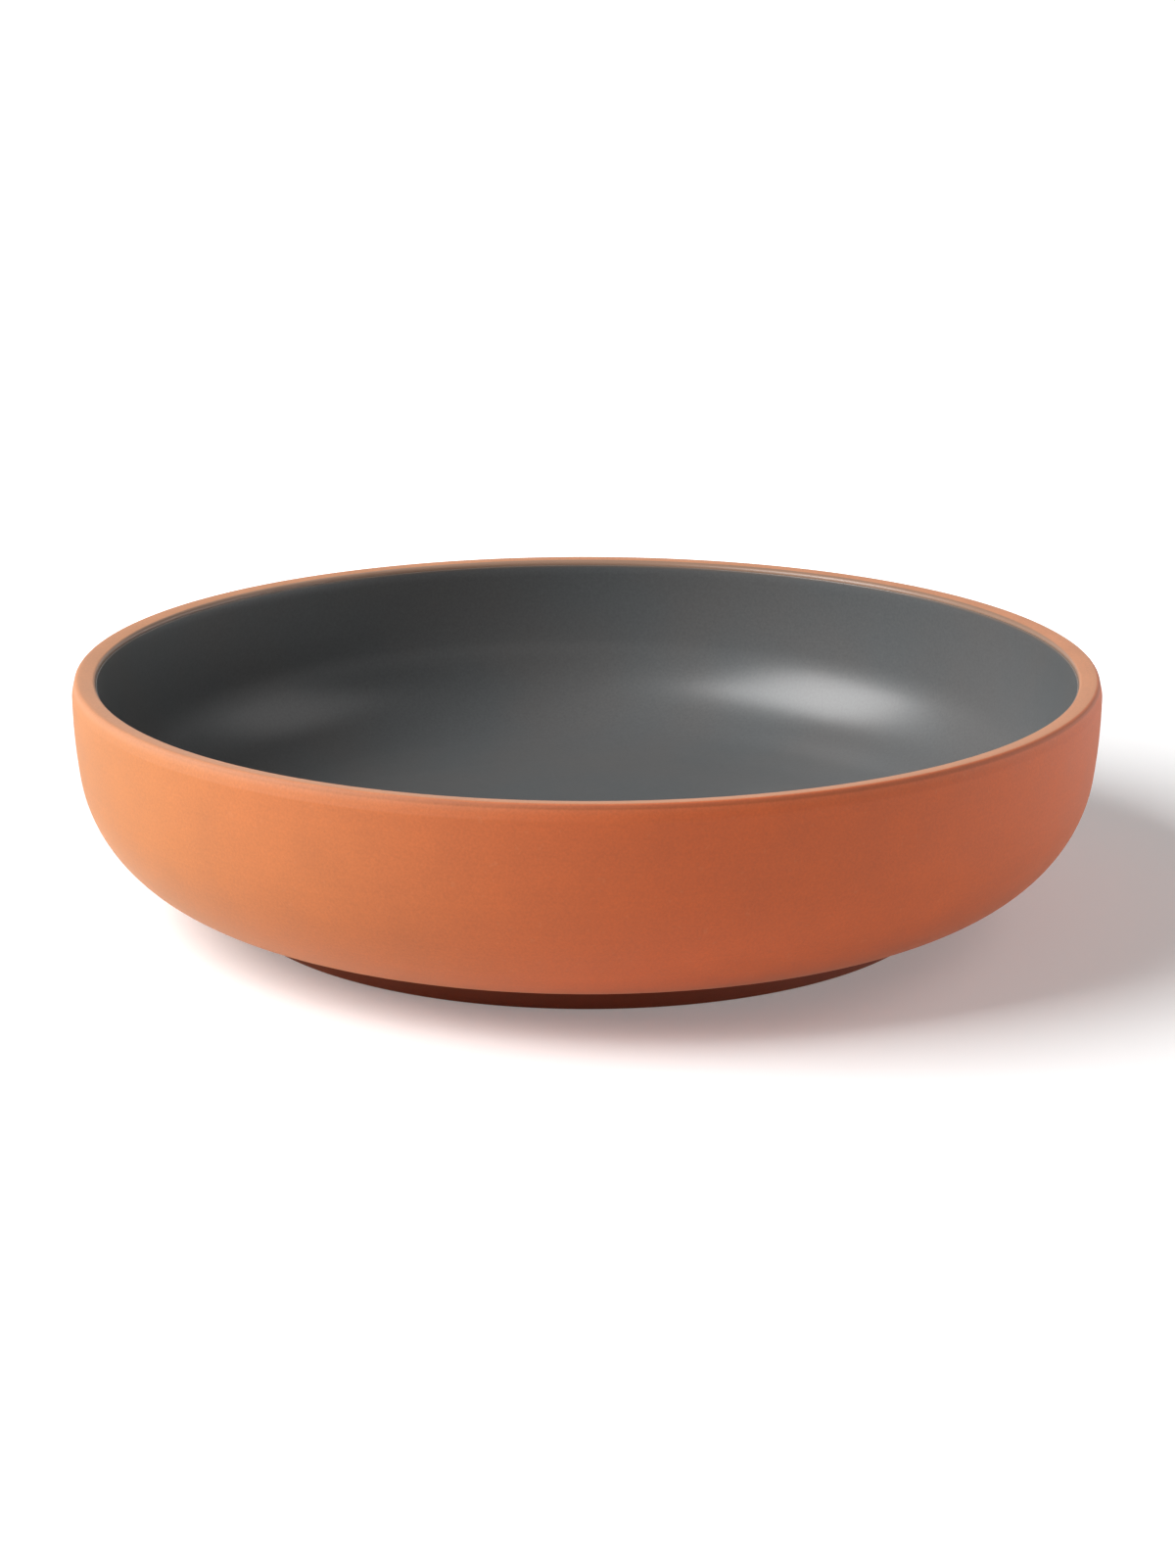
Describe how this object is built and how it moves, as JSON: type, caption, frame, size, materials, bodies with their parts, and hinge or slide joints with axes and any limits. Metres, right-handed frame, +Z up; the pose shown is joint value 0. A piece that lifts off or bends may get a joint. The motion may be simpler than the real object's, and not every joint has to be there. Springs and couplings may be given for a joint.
{
  "type": "serving bowl",
  "caption": "Low round serving bowl in bare terracotta with a softly rolled lip, a dark satin-glazed inside and a plain foot ring.",
  "frame": {"origin": "centre of the foot ring's underside, on the surface that the bowl stands on", "axes": "+Z up along the bowl's axis of revolution; X and Y are any two directions across the bowl"},
  "size_m": [0.3, 0.3, 0.0706],
  "materials": {
    "terracotta": "matte bare fired clay",
    "satin_glaze": "satin dark grey glaze"
  },
  "bodies": {
    "root": {"clay_body": "terracotta", "glaze_lining": "satin_glaze"}
  },
  "joints": []
}
